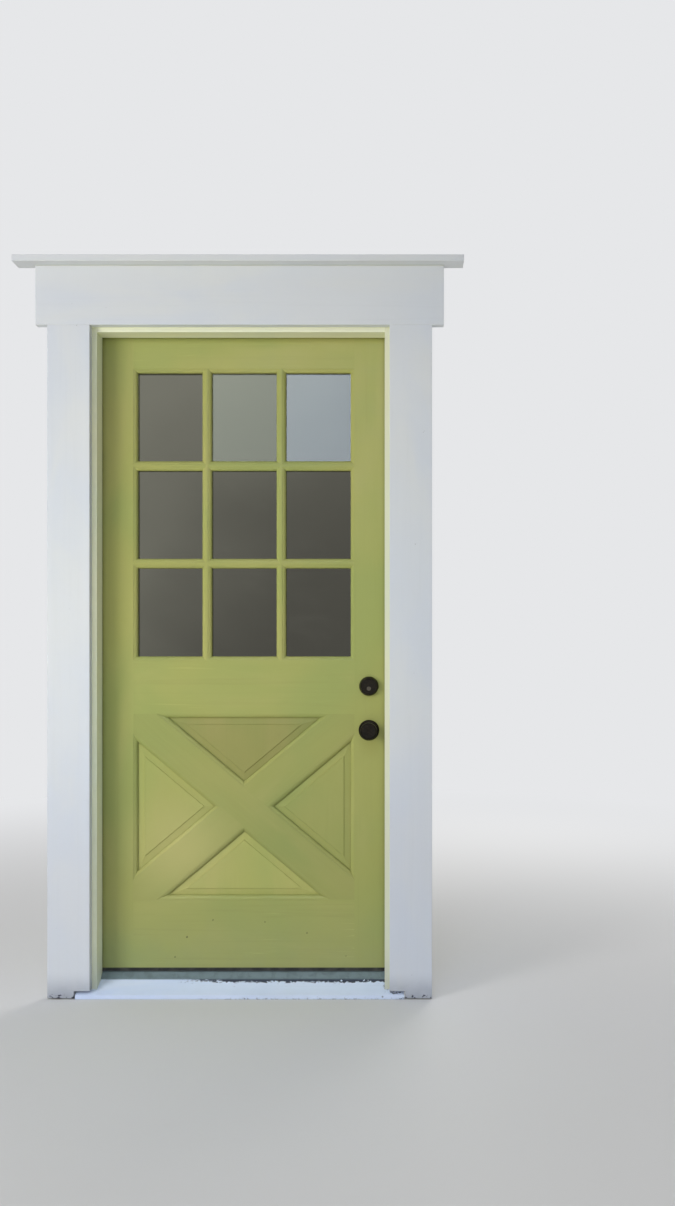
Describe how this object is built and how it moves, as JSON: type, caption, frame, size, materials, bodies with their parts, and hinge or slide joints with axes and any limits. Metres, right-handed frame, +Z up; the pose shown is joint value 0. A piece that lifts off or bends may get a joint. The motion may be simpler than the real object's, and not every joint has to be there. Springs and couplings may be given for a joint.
{
  "type": "half-glazed crossbuck entry door",
  "caption": "Half-glazed wooden entry door with a divided light over a crossbuck of raised panels, hung in its frame with casings, cap, sill, threshold, knob set and deadbolt.",
  "frame": {"origin": "on the sill's underside, midway between the jambs, in the plane of the wall's outer face", "axes": "+X to the right seen from outside, +Y inwards through the wall, +Z up"},
  "size_m": [1.38, 0.2345, 2.284],
  "materials": {
    "door_paint": "weathered sage green paint",
    "glass": "clear, dark room behind",
    "frame_paint": "satin paint",
    "casing_paint": "white paint, dirty and peeling at the foot",
    "sill_paint": "pale worn paint",
    "threshold_metal": "dull mill finish",
    "seal": "matte",
    "hinge_metal": "satin",
    "strike_metal": "satin",
    "bolt_metal": "satin",
    "dark_hardware": "dark bronze, worn",
    "plug_metal": "worn"
  },
  "bodies": {
    "frame": {"hinge_jamb": "frame_paint", "strike_jamb": "frame_paint", "head_jamb": "frame_paint", "hinge_side_casing": "casing_paint", "strike_side_casing": "casing_paint", "head_casing": "casing_paint", "cap": "casing_paint", "sill": "sill_paint", "threshold": "threshold_metal", "weatherstrip": "seal", "jamb_hinge_leaf_top": "hinge_metal", "jamb_hinge_leaf_middle": "hinge_metal", "jamb_hinge_leaf_bottom": "hinge_metal", "hinge_pins": "hinge_metal", "frame_screws": "hinge_metal", "latch_strike": "strike_metal", "deadbolt_strike": "strike_metal"},
    "leaf": {"hinge_stile": "door_paint", "lock_stile": "door_paint", "top_rail": "door_paint", "lock_rail": "door_paint", "bottom_rail": "door_paint", "long_brace": "door_paint", "upper_short_brace": "door_paint", "lower_short_brace": "door_paint", "top_panel": "door_paint", "bottom_panel": "door_paint", "hinge_side_panel": "door_paint", "lock_side_panel": "door_paint", "upright_muntin_1": "door_paint", "upright_muntin_2": "door_paint", "cross_muntins": "door_paint", "glazing_beads": "door_paint", "pane_1_1": "glass", "pane_1_2": "glass", "pane_1_3": "glass", "pane_2_1": "glass", "pane_2_2": "glass", "pane_2_3": "glass", "pane_3_1": "glass", "pane_3_2": "glass", "pane_3_3": "glass", "door_sweep": "seal", "door_hinge_leaf_top": "hinge_metal", "door_hinge_leaf_middle": "hinge_metal", "door_hinge_leaf_bottom": "hinge_metal", "leaf_screws": "hinge_metal", "latch_case": "strike_metal", "deadbolt_case": "strike_metal", "outer_rose": "dark_hardware", "inner_rose": "dark_hardware", "deadbolt_cylinder": "dark_hardware", "deadbolt_rose": "dark_hardware"},
    "knob_set": {"outer_knob": "dark_hardware", "inner_knob": "dark_hardware"},
    "latch": {"latch_bolt": "bolt_metal"},
    "deadbolt_turn": {"key_plug": "plug_metal", "thumb_turn": "dark_hardware"},
    "deadbolt": {"deadbolt": "bolt_metal"}
  },
  "joints": [
    {"name": "leaf_swing", "type": "hinge", "parent": "frame", "child": "leaf", "pos_m": [-0.4585, 0.1225, 1.07], "axis": [0, 0, 1], "range_deg": [0, 110]},
    {"name": "knob_turn", "type": "hinge", "parent": "leaf", "child": "knob_set", "pos_m": [0.397, 0.09225, 0.822], "axis": [0, 1, 0], "range_deg": [0, 60]},
    {"name": "latch_slide", "type": "slide", "parent": "leaf", "child": "latch", "axis": [1, 0, 0], "range_m": [0, 0.01201]},
    {"name": "deadbolt_turning", "type": "hinge", "parent": "leaf", "child": "deadbolt_turn", "pos_m": [0.397, 0.09225, 0.9547], "axis": [0, 1, 0], "range_deg": [0, 90]},
    {"name": "deadbolt_slide", "type": "slide", "parent": "leaf", "child": "deadbolt", "axis": [1, 0, 0], "range_m": [0, 0.02541]}
  ],
  "couplings": [
    {"joint": "latch_slide", "follows": "knob_turn", "m_per_rad": 0.011459},
    {"joint": "deadbolt_slide", "follows": "deadbolt_turning", "m_per_rad": 0.01617}
  ]
}
